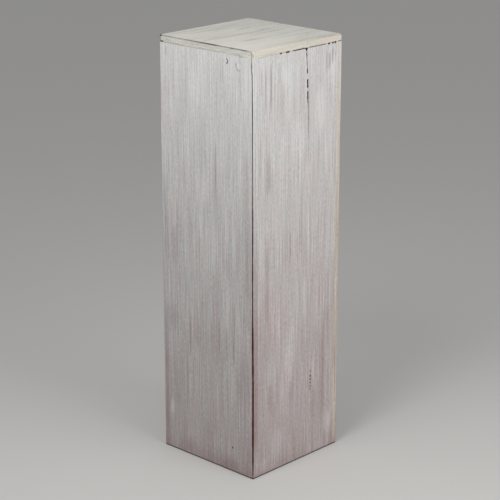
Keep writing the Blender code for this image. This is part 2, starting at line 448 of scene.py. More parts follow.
def colour_property(name, description, hex_colour):
    """A colour, given as sRGB."""
    settings = {"default": linear(hex_colour), "size": 3, "min": 0.0, "max": 1.0, "subtype": "COLOR"}
    return FloatVectorProperty(name=name, description=description, **settings)


class ColumnWood(bpy.types.PropertyGroup):
    """Sizes of the worked wood"""

    upright_arris: length_property("Upright arris", "Radius of the eased upright edges", 1.5 * MM)
    top_arris: length_property("Top arris", "Radius of the eased edge round the top", 2.5 * MM)
    top_corner: length_property("Top corner", "Plan radius of the top board's corners", 3.0 * MM)
    foot_arris: length_property("Foot arris", "Radius of the eased edge at the floor", 1.5 * MM)
    grain_depth: length_property("Grain depth", "How deep the soft grain is brushed out", 0.12 * MM)
    streak_width: length_property("Streak width", "Usual breadth of a brush streak", 2.6 * MM)
    streak_length: length_property("Streak length", "Usual length of a brush streak", 180 * MM)


class ColumnFinish(bpy.types.PropertyGroup):
    """Colours of the stain and the wash"""

    wash: colour_property("Wash", "Matt white wash where it lies thick", "#E2E2E0")
    thin_wash: colour_property("Thin wash", "Wash through which the stain shows", "#B0ADAC")
    top_wash: colour_property("Wash on top", "Wash on the top board where it lies thick", "#E2E1D9")
    top_thin_wash: colour_property("Thin wash on top", "Thin wash on the top board", "#B5B3AA")
    blush: colour_property("Blush", "Tint of the stain that bleeds into the wash", "#FFF0F0")
    rubbed_stain: colour_property("Rubbed stain", "Stain with a trace of wash left", "#7E5650")
    stain: colour_property("Stain", "Bare red-brown stain", "#4E2423")
    cream: colour_property("Cream", "Yellowed wash on edges and on the top", "#FBEFDC")
    # Colour of the grime on worn edges, and of the painted shade with grime in cracks, holes, open joints and
    # at the foot
    crevice_shade_and_dirt: colour_property("Crevice", "Dirt in cracks, holes and open joints", "#1D1514")
    bare_pine: colour_property("Bare pine", "Unfinished wood inside the column", "#C8A677")
    cover_high: share_property("Cover at the top", "Share of the wash that is left near the top", 0.93)
    cover_low: share_property("Cover at the foot", "Share of the wash that is left near the floor", 0.665)


class ColumnStage(bpy.types.PropertyGroup):
    """Floor and camera"""

    floor: colour_property("Floor", "Plain pale studio floor", "#DCDBD8")
    floor_width: length_property("Floor width", "Side of the square floor", 30.0)
    azimuth: angle_property("Azimuth", "Camera's place round the column, from the front to the right", 43.62)
    elevation: angle_property("Elevation", "Camera's angle above the horizon", 17.8)
    distance: length_property("Distance", "From the camera to the point that it looks at", 4.033)
    aim_height: length_property("Aim height", "Height of that point", 0.4907)
    aim_left: length_property("Aim left", "How far that point lies left of the column's middle", 1.9 * MM)
    lens: FloatProperty(
        name="Lens", description="Focal length in millimetres", default=124.44, subtype="DISTANCE_CAMERA"
    )


def graded(start, stop, pitch, spots):
    """Positions from start to stop, a pitch apart, and closer near each spot: middle, reach, spacing."""
    probe = np.linspace(start, stop, PROBES)
    density = np.full(probe.size, 1.0 / pitch)
    for middle, reach, spacing in spots:
        nearness = np.clip(2.0 - np.abs(probe - middle) / reach, 0.0, 1.0)
        density = np.maximum(density, nearness / spacing)
    steps = np.concatenate([[0.0], np.cumsum((density[1:] + density[:-1]) / 2 * np.diff(probe))])
    count = int(np.ceil(steps[-1]))
    return np.interp(np.linspace(0.0, steps[-1], count + 1), steps, probe)


def ease_step(value):
    """A soft step from 0 to 1."""
    clipped = np.clip(value, 0.0, 1.0)
    return clipped * clipped * (3.0 - 2.0 * clipped)


def near(distance, reach, core=1.0):
    """1 up to a distance of core - 1 reaches, and 0 from core reaches on."""
    return ease_step(core - distance / reach)


def past(place, start, width):
    """0 up to the start, and 1 from a width past it on."""
    return ease_step((place - start) / width)


def between(place, start, end, width):
    """0 outside the start and the end, and 1 from a width inside them on."""
    return past(place, start, width) * ease_step((end - place) / width)


def profile(places, pairs):
    """Values read off, at the places, from the line through pairs of a place and a value."""
    return np.interp(places, *zip(*pairs))


def rounding(way, radius):
    """How far a quarter-round arris has fallen away, some way past its start."""
    inside = np.clip(way, 0.0, radius)
    return radius - np.sqrt(radius**2 - inside**2)


def wander(places, seed, pitch):
    """A smooth random line, about -1 to 1, that turns every pitch or so."""
    random = np.random.default_rng(seed)
    total = np.zeros_like(places)
    for share in WANDER_WAVES:
        total += np.sin(places * 2 * pi / (pitch * share) + random.uniform(0.0, 2 * pi))
    return total / WANDER_SUM


class Surface:
    """The outside of a board, point by point: a grid with the grain down its first axis."""

    def __init__(self, across, along):
        self.across = across
        self.along = along
        self.depth = np.zeros_like(across)
        self.rubbed = np.zeros_like(across)
        self.dirt = np.zeros_like(across)
        self.cream = np.zeros_like(across)
        self.blush = np.zeros_like(across)
        self.streak = np.zeros_like(across)

    def oval(self, across, along, width, length, lean=0.0, soft=0.6):
        """1 in an oval and 0 outside it; lean slants its long axis."""
        off_along = self.along - along
        off_across = self.across - across - lean * off_along
        reach = np.hypot(off_across / (width / 2), off_along / (length / 2))
        return ease_step((1.0 - reach) / soft)

    def stripe(self, centre, width, start, end, fade, soft=0.5):
        """1 along a line of the grain between two ends; centre is one place or one for each point."""
        side = (1.0 - np.abs(self.across - centre) / (width / 2)) / soft
        ends = np.minimum(self.along - start, end - self.along) / fade
        return ease_step(side) * ease_step(ends)

    def sink(self, mask, depth, dirt=0.0):
        """Press a mark into the wood, painted dark with shade and grime that reach almost to its lip."""
        self.depth = np.maximum(self.depth, mask * depth)
        self.soil_and_shade(np.minimum(4.0 * mask, 1.0) * dirt)

    def soil_and_shade(self, share):
        """Darken with grime and painted shade alike, where there is less darkening so far."""
        self.dirt = np.maximum(self.dirt, share)

    def rub(self, mask, share):
        """Take wash off, or lay more on where the share is below 0."""
        self.rubbed += mask * share

    def rub_streaks(self, table, taken=1.0):
        """Rub the streaks of a table, which come out pinker; taken scales the wash that goes."""
        for across, start, end, width, share in table:
            thin = self.stripe(across, width * MM, start, end, fade=(end - start) / 3, soft=1.0)
            self.rub(thin, taken * share)
            self.blush += share * thin

    def rub_bands(self, table):
        """Rub the broader streaks of a table."""
        for across, start, end, width, fade, share in table:
            self.rub(self.stripe(across, width * MM, start, end, fade * MM, soft=1.0), share)

    def rub_hairs(self, table):
        """Rub the slanting hairs of a table."""
        for across, along, width, length, lean, share in table:
            self.rub(self.oval(across, along, width * MM, length * MM, lean), share)

    def patches(self, table):
        """The soft patches of a table, added up with their shares."""
        total = np.zeros_like(self.across)
        for across, along, width, length, share in table:
            total += share * self.oval(across, along, width * MM, length * MM, soft=1.0)
        return total

    def brush(self, seed, width, length):
        """Brush streaks along the grain, which ridge the wash and let more or less stain through."""
        random = np.random.default_rng(seed)
        lines, places = self.along[:, 0], self.across[0]
        area = np.ptp(lines) * np.ptp(places)
        sway = STREAK_SWAY * wander(lines, seed + 1, SWAY_PITCH)
        for _ in range(int(STREAK_LAYERS * area / (width * length))):
            middle = random.uniform(places.min(), places.max())
            level = random.uniform(lines.min(), lines.max())
            breadth = width * random.uniform(*STREAK_BREADTHS)
            reach = length * random.uniform(*STREAK_REACHES)
            strength = random.uniform(-1.0, 1.0)
            rows = np.abs(lines - level) < reach
            columns = np.abs(places - middle) < 3 * breadth
            if not rows.any() or not columns.any():
                continue
            fade = np.cos((lines[rows] - level) / reach * pi / 2)
            offset = places[columns][None, :] - middle - sway[rows][:, None]
            ridge = strength * fade[:, None] * np.exp(-((offset / breadth) ** 2))
            self.streak[np.ix_(rows, columns)] += ridge

    def carve_grain(self, depth):
        """Brush out the soft grain to shares of a depth, less or more along the streaks."""
        self.depth += depth * np.clip(GRAIN_MEAN - GRAIN_SWING * self.streak, 0.0, GRAIN_MOST)

    def attributes(self, place):
        """The values that the finish reads, by name; place gives each board a grain of its own."""
        values = {title: getattr(self, title) for title in ("rubbed", "dirt", "cream", "blush", "streak")}
        return values | {"grain_across": self.across + place, "grain_along": self.along}


def board_section(half_width, arris, edge_strips, spots):
    """The outer side of an upright in plan: across, inward and how far each point's normal is turned."""
    if not edge_strips:
        across = graded(-half_width, half_width, ACROSS_PITCH, spots)
        return across, np.zeros_like(across), np.zeros_like(across)
    turn = np.linspace(0.0, pi / 2, ARRIS_STEPS + 1)
    strip = np.linspace(arris, WALL, STRIP_STEPS + 1)[1:]
    side_across = np.concatenate([half_width - arris + arris * np.sin(turn), np.full(strip.size, half_width)])
    side_inward = np.concatenate([arris - arris * np.cos(turn), strip])
    side_turn = np.concatenate([turn, np.full(strip.size, pi / 2)])
    face = graded(-half_width + arris, half_width - arris, ACROSS_PITCH, spots)[1:-1]
    across = np.concatenate([-side_across[::-1], face, side_across])
    inward = np.concatenate([side_inward[::-1], np.zeros_like(face), side_inward])
    turned = np.concatenate([-side_turn[::-1], np.zeros_like(face), side_turn])
    return across, inward, turned


def quads(here, beside):
    """The quads between the rows of a grid, from each point's index and that of the next point in its row."""
    return np.stack([here[:-1], beside[:-1], beside[1:], here[1:]], axis=-1).reshape(-1, 4).tolist()


def loft_faces(rows, columns):
    """Faces round and up a stack of closed sections, with a cap at each end."""
    index = np.arange(rows * columns).reshape(rows, columns)
    return quads(index, np.roll(index, -1, axis=1)) + [index[0, ::-1].tolist(), index[-1].tolist()]


def board_object(name, points, faces, values, materials, inside):
    """A smooth-shaded object with the finish's values on its points; inside lists the unfinished faces."""
    mesh = bpy.data.meshes.new(name)
    mesh.from_pydata(points.tolist(), [], faces)
    for material in materials:
        mesh.materials.append(material)
    for index in inside:
        mesh.polygons[index].material_index = 1
    for title, numbers in values.items():
        attribute = mesh.attributes.new(title, "FLOAT", "POINT")
        attribute.data.foreach_set("value", np.asarray(numbers, np.float32).ravel())
    mesh.shade_smooth()
    mesh.set_sharp_from_angle(angle=SHARP_ANGLE)
    board = bpy.data.objects.new(name, mesh)
    bpy.context.scene.collection.objects.link(board)
    return board


def upright_board(context, node, facing, mark, seed, edge_strips, across_spots=(), down_spots=(), bend=None):
    """Build one upright: a closed section carried up through many levels, worn and marked on its outside.

    A board with edge strips is full width, so its edges show. bend moves the grid's lines sideways.
    """
    wood = context.scene.column_wood
    half_width = OUTER if edge_strips else FITTED_HALF
    across, inward, turned = board_section(half_width, wood.upright_arris, edge_strips, across_spots)
    down = graded(UPRIGHT_START, HEIGHT, ALONG_PITCH, down_spots + UPRIGHT_END_SPOTS)[::-1]
    grid_down, grid_across = np.meshgrid(down, across, indexing="ij")
    if bend:
        grid_across = bend(grid_across, grid_down)
    surface = Surface(grid_across + np.sign(turned) * inward, grid_down)
    surface.brush(seed, wood.streak_width, wood.streak_length)
    surface.carve_grain(wood.grain_depth)
    wear_everywhere(surface, seed)
    mark(surface)
    surface.depth += rounding(grid_down - (HEIGHT - wood.foot_arris), wood.foot_arris)

    # The inside closes each level of the outside to a ring
    inner_across = np.linspace(half_width, -half_width, INSIDE_STEPS)
    inner_across = inner_across[1:-1] if edge_strips else inner_across
    rows, inner = down.size, inner_across.size
    columns = across.size + inner
    worn_across = grid_across - np.sin(turned) * surface.depth
    worn_inward = inward + np.cos(turned) * surface.depth
    all_across = np.hstack([worn_across, np.tile(inner_across, (rows, 1))])
    outward = OUTER - np.hstack([worn_inward, np.full((rows, inner), WALL)])
    out_x, out_y = facing
    x = out_x * outward - out_y * all_across
    y = out_y * outward + out_x * all_across
    levels = HEIGHT - np.repeat(down[:, None], columns, axis=1)
    points = np.stack([x, y, levels], axis=-1).reshape(-1, 3)
    outside = surface.attributes(seed * GRAIN_SHIFT)
    values = {title: np.hstack([numbers, np.zeros((rows, inner))]) for title, numbers in outside.items()}
    faces = loft_faces(rows, columns)
    first_inside = across.size - 1
    inside = [row * columns + column for row in range(rows - 1) for column in range(first_inside, columns)]
    inside += [len(faces) - 2, len(faces) - 1]

    finish = context.scene.column_finish
    walls = whitewashed_pine(context, "Whitewashed pine", finish.wash, finish.thin_wash, WALL_BLUSH)
    board = board_object(node + "_wood", points, faces, values, (walls, bare_pine(context)), inside)
    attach(board, "root")
    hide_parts(node)


def wear_everywhere(surface, seed):
    """What every upright has: painted contact shade and grime at the foot, thin wash above it, and hairlines
    at the joints.
    """
    up = HEIGHT - surface.along
    ragged = 1.0 + 0.4 * wander(surface.across, seed + 2, pitch=0.03)
    # A dark line at the foot: painted shade where the board meets the floor, with grime
    surface.soil_and_shade(0.9 * near(up, 2.6 * MM, core=1.7))
    surface.rub(near(up, 35 * MM * ragged), share=0.06)
    surface.rub(near(surface.along - JOINT_DOWN, 1.2 * MM), share=0.18)
    off_seam = np.abs(np.abs(surface.across) - (OUTER - WALL))
    seam = near(off_seam, 0.9 * MM) * ease_step(0.5 + wander(surface.along, seed + 3, pitch=0.12))
    surface.rub(seam, share=0.1)


def rub_arris(surface, across, wear, width, seed):
    """Rub an upright arris bare and dirty, and over more width where it is worn more.

    wear pairs a place down from the top with the share of the wash that is gone there.
    """
    share = profile(surface.along, wear)
    coarse = wander(surface.along, seed + 1, pitch=0.11)
    ragged = 1.0 + 0.12 * wander(surface.along, seed, pitch=0.025) + 0.12 * coarse
    reach = np.abs(surface.across - across) / (width * ragged * (0.5 + 0.5 * share))
    surface.rub(ease_step(1.4 - reach), share)
    surface.soil_and_shade(0.5 * np.minimum(share, 1.0) ** 2 * ease_step(1.8 - reach * 1.5))


def open_joint(surface, start, end, height):
    """Sink an unfilled stretch of the joint under the top board, painted dark with shade and grime."""
    level = (surface.along - JOINT_DOWN) / height
    opening = between(surface.across, start, end, MM) * ease_step(1.5 * (1.0 - level))
    surface.sink(opening, 2.0 * MM, dirt=1.0)


def pale_knot(surface, across, down, width, length):
    """A small pale knot with the grain parted round it and a darker crescent at its lower left."""
    off_across = (surface.across - across) / (width / 2)
    off_down = (surface.along - down) / (length / 2)
    reach = np.hypot(off_across, off_down)
    ring_reach, ring_width = 0.9, 0.14
    ring = np.exp(-(((reach - ring_reach) / ring_width) ** 2))
    crescent = ring * ease_step(0.2 + 0.8 * off_down - 0.8 * off_across)
    surface.rub(ease_step(1.6 - 2.0 * reach), share=-0.08)
    surface.rub(ring, share=0.03)
    surface.rub(crescent, share=0.20)
    surface.sink(ring, 0.2 * MM)


def mark_front(surface):
    """Marks of the front board: rubbed arrises, a thin edge strip, two knots, a nail hole and uneven wash."""
    bare_line = profile(surface.along, NEAR_ARRIS_LINE)
    rub_arris(surface, bare_line, NEAR_ARRIS_WEAR, 1.9 * MM, seed=41)
    on_line = near(np.abs(surface.across - bare_line), 1.2 * MM, core=1.6)
    surface.soil_and_shade(profile(surface.along, NEAR_ARRIS_DIRT) * on_line)
    rub_arris(surface, -OUTER, LEFT_ARRIS_WEAR, 1.3 * MM, seed=42)

    # The edge strip lies past the near arris, and its wear starts a little before it
    strip = past(surface.across, OUTER, 3 * MM) + 0.3 * past(surface.across, 0.135, 10 * MM)
    strip_wear = profile(surface.along, NEAR_STRIP_WEAR)
    surface.rub(strip, strip_wear)
    surface.blush += STRIP_BLUSH * strip * strip_wear + FRONT_BLUSH

    # The wash fills the joint, where every upright has a hairline
    surface.rub(past(surface.across, *FRONT_FILL) * near(surface.along - JOINT_DOWN, 2.0 * MM), share=-0.22)

    # The dead knot's hollows and the nail hole are painted dark with shade and grime
    hollows = [surface.oval(*place, *DEAD_KNOT_SIZE, lean, soft=0.5) for *place, lean in DEAD_KNOT]
    surface.sink(np.maximum(*hollows), DEAD_KNOT_DEPTH, dirt=0.85)
    pale_knot(surface, *PALE_KNOT)
    surface.sink(surface.oval(*NAIL_HOLE, NAIL_WIDTH, NAIL_WIDTH, soft=0.4), NAIL_DEPTH, dirt=1.0)
    surface.rub_hairs(FRONT_HAIRS)
    surface.rub_streaks(FRONT_STREAKS)
    surface.rubbed += surface.patches(FRONT_PATCHES)
    surface.blush += surface.patches(FRONT_BLUSH_PATCHES)


def mark_right(surface):
    """Marks of the right board: the split with its chip, the open joint, a drying check and uneven wash."""
    surface.streak *= RIGHT_STREAK_GAIN
    surface.blush += RIGHT_BLUSH
    line = profile(surface.along, SPLIT_LINE)
    ragged_line = line + SPLIT_WAVER * wander(surface.along, seed=51, pitch=0.009)
    # Each open stretch of the split is painted dark with shade and grime, the darker the deeper it is
    for start, end, width, depth in SPLIT_STRETCHES:
        gap = surface.stripe(ragged_line, width * MM, start * MM, end * MM, fade=2.0 * MM, soft=0.4)
        surface.sink(gap, depth * MM, dirt=min(1.0, 0.4 + depth / 5))

    # The wash is thin beside the split, and the chip is a triangle that narrows down it, painted dark with
    # shade and grime
    surface.rub(surface.stripe(line, 9 * MM, 0.0, 0.33, fade=0.16, soft=1.0), share=0.15)
    drop = (surface.along - JOINT_DOWN) / CHIP_DROP
    chip = ease_step(1.6 * (1.0 - drop - np.abs(surface.across - line) / (CHIP_WIDTH / 2)))
    surface.sink(chip, CHIP_DEPTH, dirt=1.0)
    for start, end, height in JOINT_GAPS[:-1]:
        open_joint(surface, start * MM, end * MM, height * MM)
    # Each dash of the check is painted dark with shade and grime
    for down, length, dark in CHECK_DASHES:
        surface.sink(surface.oval(CHECK_ACROSS, down, CHECK_WIDTH, length * MM), CHECK_DEPTH, dark)
    surface.rub_hairs(RIGHT_HAIRS)
    surface.rub_streaks(RIGHT_STREAKS, taken=0.8)
    surface.rubbed += surface.patches(RIGHT_PATCHES)
    surface.blush += surface.patches(RIGHT_BLUSH_PATCHES)


def mark_back(surface):
    """Marks of the back board: its cream edge strip shows on the right side."""
    strip = ease_step((-OUTER - surface.across) / MM + 1.0)
    uneven = 0.85 + 0.15 * wander(surface.along, seed=61, pitch=0.08)
    surface.cream = np.maximum(surface.cream, profile(surface.along, FAR_STRIP_CREAM) * strip * uneven)
    surface.rub(strip, share=-0.03)
    surface.rubbed += surface.patches(FAR_STRIP_PATCHES)
    rub_arris(surface, -OUTER, RIGHT_ARRIS_WEAR, 1.2 * MM, seed=62)
    rub_arris(surface, OUTER, BACK_ARRIS_WEAR, 1.5 * MM, seed=63)

    # On this board's unrolled edge, places run the other way from the corner
    start, end, height = JOINT_GAPS[-1]
    open_joint(surface, end * MM - 2 * OUTER, start * MM - 2 * OUTER, height * MM)


def mark_left(surface):
    """Marks of the left board: two broad streaks of thin wash."""
    surface.rub_bands(LEFT_BANDS)


def follow_split(across, down):
    """Bend the grid's lines so that they run along the split."""
    line = profile(down, SPLIT_LINE)
    nearness = near(np.abs(across - SPLIT_MIDDLE), SPLIT_REACH)
    return across + (line - SPLIT_MIDDLE) * nearness


def build_top_face(wood):
    """The top board's face: a plan grid with rounded corners, rolled over at its edge."""
    arris_spots = tuple((edge, wood.top_arris, UPPER_SPACING) for edge in (-OUTER, OUTER))
    across = graded(-OUTER, OUTER, TOP_ACROSS_PITCH, arris_spots + TOP_CRACK_SPOTS)
    along = graded(-OUTER, OUTER, TOP_ALONG_PITCH, arris_spots)
    grid_along, grid_across = np.meshgrid(along, across, indexing="ij")
    x, y = round_corners(grid_across, grid_along, wood.top_corner)
    edge = wood.top_corner - np.hypot(*corner_reach(x, y, wood.top_corner))
    surface = Surface(x, y)
    surface.brush(TOP_SEED, TOP_STREAK_BREADTH * wood.streak_width, TOP_STREAK_LENGTH * wood.streak_length)
    surface.carve_grain(wood.grain_depth)
    mark_top(surface, edge)
    heights = TOP_HIGH[2] - rounding(wood.top_arris - edge, wood.top_arris) - surface.depth
    return surface, np.stack([x, y, heights], axis=-1).reshape(-1, 3)


def build_rim(wood, outline):
    """The top board's rim: rings of points down from the outline of its face, and their places."""
    x, y = outline[:, 0], outline[:, 1]
    lengths = np.hypot(np.diff(x, append=x[0]), np.diff(y, append=y[0]))
    girth = np.concatenate([[0.0], np.cumsum(lengths)[:-1]])
    low_spot = (JOINT_DOWN, LOW_ARRIS, LOWER_SPACING)
    depths = graded(wood.top_arris, JOINT_DOWN, RIM_PITCH, (low_spot,))[1:]
    grid_depth, grid_girth = np.meshgrid(depths, girth, indexing="ij")
    rim = Surface(grid_girth, grid_depth)
    rim_streaks(rim, seed=73)
    mark_rim(rim, x, y)
    rim.depth += rounding(grid_depth - (JOINT_DOWN - LOW_ARRIS), LOW_ARRIS)
    outward = np.stack(corner_reach(x, y, wood.top_corner))
    outward /= np.maximum(np.hypot(*outward), 1e-9)
    ring_x, ring_y = x - outward[0] * rim.depth, y - outward[1] * rim.depth
    return rim, np.stack([ring_x, ring_y, HEIGHT - grid_depth], axis=-1).reshape(-1, 3)


def build_top_board(context):
    """Build the board that closes the top: its face, the rim round it and a flat underside."""
    wood = context.scene.column_wood
    surface, face_points = build_top_face(wood)
    index = np.arange(surface.across.size).reshape(surface.across.shape)
    outline = np.concatenate([index[0, :-1], index[:-1, -1], index[-1, :0:-1], index[:0:-1, 0]])
    rim, rim_points = build_rim(wood, face_points[outline])
    rings = np.vstack([outline, index.size + np.arange(rim.across.size).reshape(rim.across.shape)])
    faces = quads(index[:, :-1], index[:, 1:])
    faces += quads(np.roll(rings, -1, axis=1), rings)
    faces.append(rings[-1, ::-1].tolist())

    # The rim's grain runs round the board, so its places along and across change over
    values = surface.attributes(TOP_SEED * GRAIN_SHIFT)
    rim_values = rim.attributes(0.0) | {"grain_across": rim.along, "grain_along": rim.across}
    values = {title: np.append(numbers, rim_values[title]) for title, numbers in values.items()}
    finish = context.scene.column_finish
    top = whitewashed_pine(context, "Whitewashed pine top", finish.top_wash, finish.top_thin_wash, TOP_BLUSH)
    points = np.vstack([face_points, rim_points])
    underside = [len(faces) - 1]
    board = board_object("top_board_wood", points, faces, values, (top, bare_pine(context)), underside)
    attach(board, "root")
    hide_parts("top_board")


def corner_reach(x, y, radius):
    """How far each point lies past the square that the corner arcs are centred on, with its sign."""
    limit = OUTER - radius
    over_x = np.sign(x) * np.clip(np.abs(x) - limit, 0.0, None)
    over_y = np.sign(y) * np.clip(np.abs(y) - limit, 0.0, None)
    return over_x, over_y


def round_corners(x, y, radius):
    """Draw the corners of a square grid in to quarter circles."""
    over_x, over_y = corner_reach(x, y, radius)
    drawn_x = over_x * np.sqrt(1.0 - (over_y / radius) ** 2 / 2)
    drawn_y = over_y * np.sqrt(1.0 - (over_x / radius) ** 2 / 2)
    return x + drawn_x - over_x, y + drawn_y - over_y


def rim_streaks(rim, seed):
    """Streaks that run along the rim of the top board, in layers of unlike fineness."""
    layers = len(RIM_STREAK_PITCHES)
    for layer, pitch in enumerate(RIM_STREAK_PITCHES):
        level = 4.0 * MM * wander(rim.across, seed + layer, pitch=0.16)
        shade = wander(rim.along + level, seed + layers + layer, pitch)
        rim.streak += RIM_STREAK_GAIN * shade * wander(rim.across, seed + 2 * layers + layer, pitch=0.07)


def mark_rim(rim, x, y):
    """Marks of the rim: cream wash on its right side, the joint under it, and worn near and left corners."""
    above_joint = JOINT_DOWN - rim.along
    front_side = past(-y, OUTER - 4 * MM, 2 * MM)
    right_side = past(x, OUTER - 1.4 * MM, 0.8 * MM)
    rim.cream = np.maximum(rim.cream, 0.32 * right_side)
    rim.blush += 0.25 * right_side
    rim.rub(right_side, share=-0.09)
    rim.rub(1.0 - right_side, share=0.06)

    # The near corner is rubbed low down, with a dark line to the left of it
    near_corner = near(np.hypot(x - OUTER, y + OUTER), 2 * MM, core=1.5)
    rim.rub(near_corner * past(rim.along, 4 * MM, 3 * MM), share=0.3)
    corner_line = near(np.abs(x - (OUTER - 4.8 * MM)), MM, core=1.4) * past(-y, OUTER - 2 * MM, MM)
    rim.rub(corner_line, share=0.2)
    rim.soil_and_shade(0.25 * corner_line)

    # The left corner, where the girth starts and ends, is battered and dirty, with painted shade in its dent
    off_corner = np.minimum(rim.across, rim.across.max() - rim.across)
    rim.sink(near(off_corner, 14 * MM) * near(above_joint, 2.6 * MM, core=1.5), 1.6 * MM, dirt=1.0)
    silhouette = near(off_corner, 5 * MM, core=1.3)
    rim.soil_and_shade(0.9 * silhouette * near(rim.along - 2 * MM, 3 * MM, core=1.4))
    rim.soil_and_shade(0.5 * silhouette)

    # The joint is open in places, painted dark there with shade and grime, filled with wash in others, and a
    # thin line in the rest
    for start, end, height in JOINT_GAPS:
        opening = between(y, start * MM, end * MM, MM) * right_side
        rim.sink(opening * near(above_joint, 0.5 * height * MM, core=1.3), 0.6 * MM, dirt=1.0)
    filled = front_side * past(x, *FRONT_FILL) + right_side * past(-y, *RIGHT_FILL)
    rim.rub(near(above_joint, 0.9 * MM, core=1.5) * (1.0 - filled), share=0.14)
    rim.rub(front_side * near(above_joint, 6 * MM), share=0.06)
    rim.rub(front_side * past(x, *THICK_FILL) * near(above_joint, 5 * MM), share=-0.12)


def mark_top(surface, edge):
    """Marks of the top board's face: drying cracks, broad streaks and worn arrises.

    edge is how far each point lies in from the board's outline, near it.
    """
    # Each crack is painted dark with shade and grime
    for across, along, length in TOP_CRACKS:
        start, end = along - length / 2, along + length / 2
        line = across + TOP_CRACK_WAVER * wander(surface.along, seed=81, pitch=0.02)
        crack = surface.stripe(line, TOP_CRACK_WIDTH, start, end, fade=length / 3, soft=0.8)
        surface.sink(crack, TOP_CRACK_DEPTH, dirt=0.85)
        surface.rub(surface.oval(across, along, 7 * MM, 1.5 * length, soft=1.0), share=0.2)
    surface.rub_bands(TOP_BANDS)

    # The front arris is worn dark in dashes, up to the near corner, and the left and back ones evenly
    front, back = past(-surface.along, *TOP_EDGE), past(surface.along, *TOP_EDGE)
    left, right = past(-surface.across, *TOP_EDGE), past(surface.across, *TOP_EDGE)
    near_corner = surface.oval(OUTER, -OUTER, 16 * MM, 16 * MM)
    arris = near(np.abs(edge - MM), 0.8 * MM, core=1.8)
    dark = front * arris * (1.0 - near_corner) * profile(surface.across, TOP_ARRIS_WEAR)
    surface.rub(dark, share=0.3)
    surface.soil_and_shade(np.minimum(0.9, 0.7 * dark))
    surface.rub((left + back) * arris, share=0.3)
    left_corner = surface.oval(-OUTER, -OUTER, 22 * MM, 22 * MM)
    surface.soil_and_shade(0.9 * left_corner * near(edge, 2.2 * MM, core=1.5))

    # The right arris is faint, with a line and a strip of thin wash inside it
    surface.rub(right * arris, share=0.08)
    surface.rub(right * arris * past(surface.along, 0.06, 0.02), share=0.04)
    inner_line = OUTER - 12 * MM + 2 * MM * wander(surface.along, seed=83, pitch=0.09)
    thin_line = surface.stripe(inner_line, 7 * MM, -0.05, 0.16, fade=0.05)
    surface.rub(thin_line * (0.7 + 0.3 * wander(surface.along, seed=84, pitch=0.08)), share=0.2)
    surface.rub(surface.stripe(OUTER - 7 * MM, 9 * MM, 0.05, 0.16, fade=0.05), share=0.12)

    # The right edge and the near corner are cream and pink, and the wash is thicker towards the right
    surface.cream += 0.3 * near_corner + 0.25 * right
    surface.blush += 0.3 * near_corner + 0.2 * right
    surface.rubbed -= 0.02 + 0.04 * ease_step(0.5 + surface.across / OUTER)
    surface.streak *= TOP_STREAK_GAIN


def new_material(name):
    """A new material, with its nodes and its shader."""
    material = bpy.data.materials.new(name)
    material.use_nodes = True
    return material, material.node_tree, material.node_tree.nodes["Principled BSDF"]


def add_node(tree, kind, settings=(), **links):
    """Add a shader node, set its properties, and set each input or link it to another node's output.

    An input goes by its name, with underscores for spaces, or by an underscore and its number.
    """
    node = tree.nodes.new("ShaderNode" + kind)
    for title, value in dict(settings).items():
        setattr(node, title, value)
    for title, source in links.items():
        socket = node.inputs[int(title[1:])] if title[1:].isdigit() else node.inputs[title.replace("_", " ")]
        if isinstance(source, bpy.types.NodeSocket):
            tree.links.new(source, socket)
        else:
            socket.default_value = source
    return node


